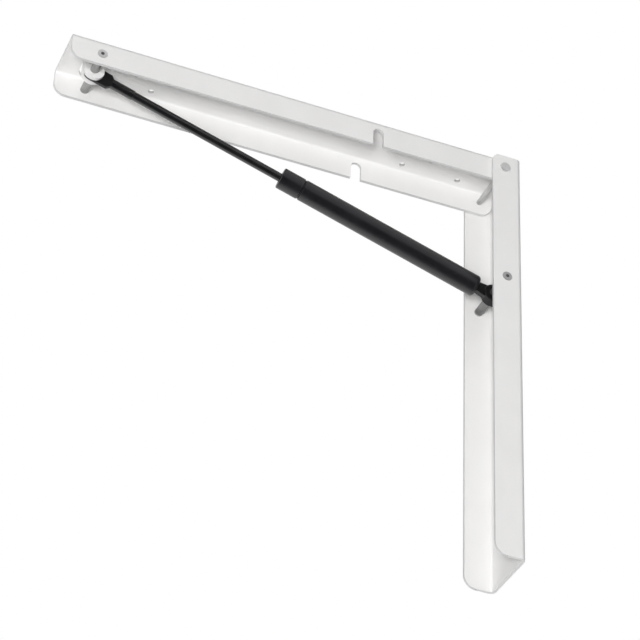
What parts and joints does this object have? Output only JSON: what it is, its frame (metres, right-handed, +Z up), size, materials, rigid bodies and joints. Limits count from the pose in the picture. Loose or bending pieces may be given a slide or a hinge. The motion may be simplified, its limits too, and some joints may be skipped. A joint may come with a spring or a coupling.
{
  "type": "drop leaf table bracket",
  "caption": "Folding table bracket: an upright wall channel, a level leaf arm hinged at its top that swings down, and a gas strut between them.",
  "frame": {"origin": "on the wall face, in the middle of the bracket's width, at the height of the hinge axis", "axes": "+Z up, +Y into the wall, X across the bracket"},
  "size_m": [0.0686, 0.438, 0.4325],
  "materials": {
    "white_coat": "satin white powder coat",
    "tube_black": "smooth black paint",
    "rod_black": "black nitrided steel, polished",
    "fitting_black": "black plated steel",
    "pin_steel": "plain turned steel",
    "bush_plastic": "black bearing plastic",
    "washer_plastic": "natural plastic",
    "piston_metal": "turned",
    "seal_rubber": "matt"
  },
  "bodies": {
    "wall_bracket": {"wall_channel": "white_coat", "hinge_pin": "pin_steel", "hinge_washer_near": "washer_plastic", "hinge_washer_far": "washer_plastic", "lower_pin": "pin_steel"},
    "leaf_arm": {"leaf_channel": "white_coat", "tip_pin_near": "pin_steel", "tip_pin_far": "pin_steel"},
    "strut_barrel": {"strut_tube": "tube_black", "rod_guide": "washer_plastic", "rod_seal": "seal_rubber", "seal_washer": "pin_steel", "lower_end_fitting": "fitting_black", "lower_eye_bush": "bush_plastic"},
    "strut_rod": {"rod_end_fitting": "fitting_black", "rod_eye_bush": "bush_plastic", "tip_pin_core": "pin_steel", "piston_rod": "rod_black", "piston": "piston_metal", "piston_ring": "seal_rubber", "piston_nut": "pin_steel"}
  },
  "joints": [
    {"name": "arm_fold", "type": "hinge", "parent": "wall_bracket", "child": "leaf_arm", "pos_m": [0, -0.0168, 0], "axis": [1, 0, 0], "range_deg": [0, 90], "stiffness_Nm_per_rad": 3, "springref_deg": -171.89},
    {"name": "barrel_swing", "type": "hinge", "parent": "wall_bracket", "child": "strut_barrel", "pos_m": [0, -0.0156, -0.1263], "axis": [1, 0, 0], "range_deg": [0, 107.63]},
    {"name": "rod_slide", "type": "slide", "parent": "strut_barrel", "child": "strut_rod", "axis": [0, 0.9531, -0.3026], "range_m": [0, 0.1469]}
  ],
  "couplings": [
    {"joint": "barrel_swing", "follows": "arm_fold", "ratio": 1.1957},
    {"joint": "rod_slide", "follows": "arm_fold", "m_per_rad": 0.093509}
  ]
}
